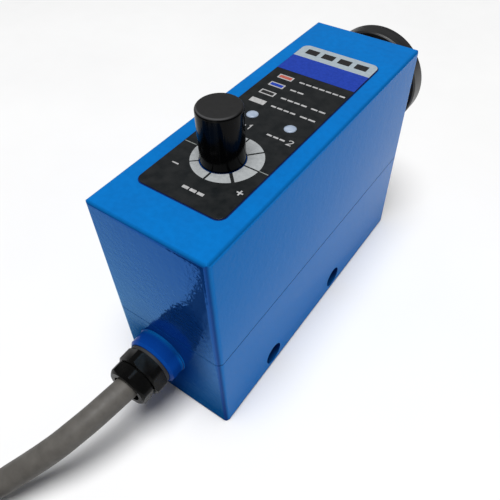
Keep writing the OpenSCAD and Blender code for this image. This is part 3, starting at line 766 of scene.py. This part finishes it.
def ribbon(points, width):
    """Outline of a bent stroke with mitred corners."""
    left, right = [], []
    for i, p in enumerate(points):
        before = (p - points[i - 1]).normalized() if i else (points[1] - p).normalized()
        after = (points[i + 1] - p).normalized() if i < len(points) - 1 else before
        middle = (before + after).normalized()
        across = Vector((-middle.y, middle.x))
        reach = width / 2 / max(abs(across.dot(Vector((-before.y, before.x)))), 0.4)
        left.append(p + across * reach)
        right.append(p - across * reach)
    return [tuple(p) for p in left + right[::-1]]


def rounded(x0, x1, y0, y1, radii, steps=8):
    """Rectangle whose corners, from the lower left counter-clockwise, have the given radii."""
    out = []
    corners = [(x0, y0, 180), (x1, y0, 270), (x1, y1, 0), (x0, y1, 90)]
    for (x, y, start), r in zip(corners, radii):
        if r == 0:
            out.append((x, y))
            continue
        cx = x + (r if x == x0 else -r)
        cy = y + (r if y == y0 else -r)
        for i in range(steps + 1):
            a = math.radians(start + 90 * i / steps)
            out.append((cx + r * math.cos(a), cy + r * math.sin(a)))
    return out


class Print(Build):
    """One colour of ink, laid on the label in flat slabs."""

    def shape(self, outline, layer=1):
        self.slab(outline, LABEL_TOP - 0.01, LABEL_TOP + PRINT * layer)

    def box(self, x0, x1, y0, y1, r=0.0, layer=1):
        self.shape(rounded(x0, x1, y0, y1, [r] * 4), layer)

    def stroke(self, points, width):
        self.shape(ribbon([Vector(p) for p in points], width))

    def lay(self, name, ink_name):
        return self.piece(name, inks[ink_name], slot="label_film", smooth=False)


def scale_sector(first, last, half_gap_first, half_gap_last):
    """Outline between two radial gaps, from the knob's hole out to the scale's rim."""
    def inner_reach(angle):
        ahead = Vector((math.cos(angle), math.sin(angle)))
        off = SCALE_AT - KNOB_AT
        along = off.dot(ahead)
        return -along + math.sqrt(along ** 2 - off.length_squared + HOLE_R ** 2)

    def arc(reach, back=False):
        out = []
        for i in range(17):
            t = 1 - i / 16 if back else i / 16
            middle = lerp(first, last, t)
            r = reach(middle)
            angle = lerp(first + math.asin(half_gap_first / r), last - math.asin(half_gap_last / r), t)
            r = reach(angle)
            out.append(tuple(SCALE_AT + r * Vector((math.cos(angle), math.sin(angle)))))
        return out

    return arc(lambda angle: SCALE_R) + arc(inner_reach, back=True)


def print_scale():
    """The ring of sectors round the knob, and a thin line at each side of it."""
    sectors = Print()
    for i, (angle, half) in enumerate(SCALE_GAPS):
        following, next_half = SCALE_GAPS[(i + 1) % len(SCALE_GAPS)]
        if following < angle:
            following += 360
        sectors.shape(scale_sector(math.radians(angle), math.radians(following), half, next_half))
    sectors.lay("print_scale", "grey")
    lines = Print()
    lines.box(-10.6, -7.5, -19.55, -19.33)
    lines.box(8.7, 10.8, -19.4, -19.18)
    lines.lay("print_scale_lines", "line")


def words(sheet, x0, x1, y, height, parts):
    """Plain bars in place of a word, so many to its length."""
    gap = 0.34
    width = (x1 - x0 - gap * (parts - 1)) / parts
    for i in range(parts):
        left = x0 + i * (width + gap)
        sheet.box(left, left + width, y - height / 2, y + height / 2, 0.12)


def plus(sheet, x, y, reach, half):
    """Upright cross in one outline."""
    quarter = [(reach, -half), (reach, half), (half, half)]
    outline = []
    for _ in range(4):
        outline += quarter
        quarter = [(-dy, dx) for dx, dy in quarter]
    sheet.shape([(x + dx, y + dy) for dx, dy in outline])


def print_marks():
    """The white printing: minus, plus, figures, bars in place of words, and the key."""
    marks = Print()
    marks.box(-8.15, -6.5, -26.75, -26.4)
    plus(marks, 9.2, -26.7, 0.75, 0.17)
    words(marks, -1.5, 3.8, -31.2, 0.75, 3)
    for (x, y), strokes in zip(((-7.4, -8.0), (2.9, -8.1)), FIGURE_STROKES):
        words(marks, x, x + 4.6, y, 0.5, 3)
        marks.stroke([(x + 5.4 + dx, y + dy) for dx, dy in strokes], 0.26)
    for x0, x1, y, parts in KEY_WORDS:
        words(marks, x0, x1, y, KEY_BAR_H, parts)
    left, right = KEY_X
    low, high = KEY_PLAIN_ROW
    marks.box(left, right, low, high, 0.1)
    marks.lay("print_marks", "white")
    frames = Print()
    for _, y, _ in KEY_ROWS:
        frames.box(left, right, y - 0.9, y + 0.9, 0.1)
    frames.lay("print_key_frames", "white")
    for name, y, colour in KEY_ROWS:
        chip = Print()
        chip.box(left + 0.35, right - 0.35, y - 0.55, y + 0.55, 0, 1.6)
        chip.lay(f"print_key_{name}", colour)


def print_bands():
    """The blue band and the pale one with four dark bars, at the label's far end."""
    low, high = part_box("face_label")
    x0, x1, top = low.x / MM, high.x / MM, high.y / MM
    edge = 0.06
    bands_meet = 24.5
    blue = Print()
    blue.box(x0 + edge, x1 - edge, 16.9, bands_meet)
    blue.lay("print_blue_band", "blue")
    pale = Print()
    pale.shape(rounded(x0 + edge, x1 - edge, bands_meet, top - edge, [0, 0, 1.85, 1.85]))
    pale.lay("print_pale_band", "pale")
    bars = Print()
    for i in range(4):
        left = -8.6 + i * 4.7
        bars.box(left, left + 3.4, 26.5, 28.9, 0.15, 1.6)
    bars.lay("print_band_bars", "black")


def label_edge():
    """Painted shadow round the film's edge: a thin dark band showing a little round the film."""
    low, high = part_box("face_label")
    under = low.z / MM - 0.03
    over = low.z / MM + 0.04
    outer, inner = [
        rounded(low.x / MM - grow, high.x / MM + grow, low.y / MM - grow, high.y / MM + grow,
                [1.9 + grow] * 4, 12)
        for grow in (0.22, -0.8)
    ]
    around = [(outer, under), (outer, over), (inner, over), (inner, under)]
    band = Print()
    band.rings([[Vector((x, y, z)) * MM for x, y in outline] for outline, z in around], closed=True)
    band.lay("label_edge_shadow", "navy")


label_edge()
print_scale()
print_marks()
print_bands()


# ---------- indicator windows and knob index ----------

def make_dome(name, centre, radius, height):
    """Spherical cap standing on an indicator window."""
    rings = []
    steps = 8
    for i in range(steps + 1):
        a = math.radians(85 * i / steps)
        r = radius * math.cos(a)
        z = centre.z + height * math.sin(a)
        rings.append([Vector((centre.x + r * math.cos(t), centre.y + r * math.sin(t), z))
                      for t in (math.tau * k / 36 for k in range(36))])
    first = [Vector((p.x, p.y, centre.z - 0.1 * MM)) for p in rings[0]]
    dome = Build()
    dome.rings([first] + rings)
    dome.piece(name, looks["window_resin"], slot="window_resin")


def make_domes():
    """A dome on each indicator window."""
    for number in (1, 2):
        low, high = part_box(f"output_window_{number}")
        middle = (low + high) / 2
        reach = min(high.x - low.x, high.y - low.y, 2.8 * MM) / 2
        centre = Vector((middle.x, middle.y, high.z))
        make_dome(f"window_dome_{number}", centre, reach - 0.06 * MM, 0.32 * MM)


def make_index():
    """White line moulded into the knob's notch, on the flank towards the lens."""
    low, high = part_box("adjuster_knob")
    radius = (high.x - low.x) / 2 / MM
    flank = (low.y + high.y) / 2 / MM + radius
    line = Build()
    outline = rounded(-0.37, 0.37, flank - 0.38, flank - 0.07, [0, 0, 0.05, 0.05], 3)
    line.slab(outline, low.z / MM + 1.05, high.z / MM - 0.75)
    line.piece("knob_index", looks["wire_white"], body="knob", slot="wire_white")


make_domes()
make_index()


# ---------- stage ----------

# Metres: half the floor's width, and the lamp's place, aim and width; its power is in watts
FLOOR_HALF = 3.0
LAMP_PLACE = (0.12, -0.26, 1.8)
LAMP_AIM = (0, 0, 0.02)
LAMP_SIZE = 1.0
LAMP_POWER = 35
SKY_STRENGTH = 0.13


def make_floor():
    """A white paper floor."""
    data = bpy.data.meshes.new("floor")
    half = FLOOR_HALF
    corners = [(-half, -half, 0), (half, -half, 0), (half, half, 0), (-half, half, 0)]
    data.from_pydata(corners, [], [(0, 1, 2, 3)])
    look = Look("floor_paper", Specular_IOR_Level=0.2)
    look.tint((0.90, 0.90, 0.90), (0.92, 0.92, 0.92), 60)
    look.rough(0.65, 0.8, 8)
    data.materials.append(look.material)
    floor = bpy.data.objects.new("floor", data)
    bpy.context.scene.collection.objects.link(floor)


def area_light(name, place, aim, size, power):
    """Round lamp that shines towards the aim."""
    data = bpy.data.lights.new(name, "AREA")
    data.shape = "DISK"
    data.size = size
    data.energy = power
    light = bpy.data.objects.new(name, data)
    light.location = place
    light.rotation_mode = "QUATERNION"
    light.rotation_quaternion = (Vector(aim) - Vector(place)).to_track_quat("-Z", "Y")
    bpy.context.scene.collection.objects.link(light)


def make_light():
    """A dim white sky and one large lamp overhead."""
    world = bpy.data.worlds.new("studio")
    world.use_nodes = True
    background = world.node_tree.nodes["Background"]
    background.inputs["Color"].default_value = (1, 1, 1, 1)
    background.inputs["Strength"].default_value = SKY_STRENGTH
    bpy.context.scene.world = world
    area_light("key", LAMP_PLACE, LAMP_AIM, LAMP_SIZE, LAMP_POWER)
    bpy.context.scene.view_settings.view_transform = "Standard"


make_floor()
make_light()
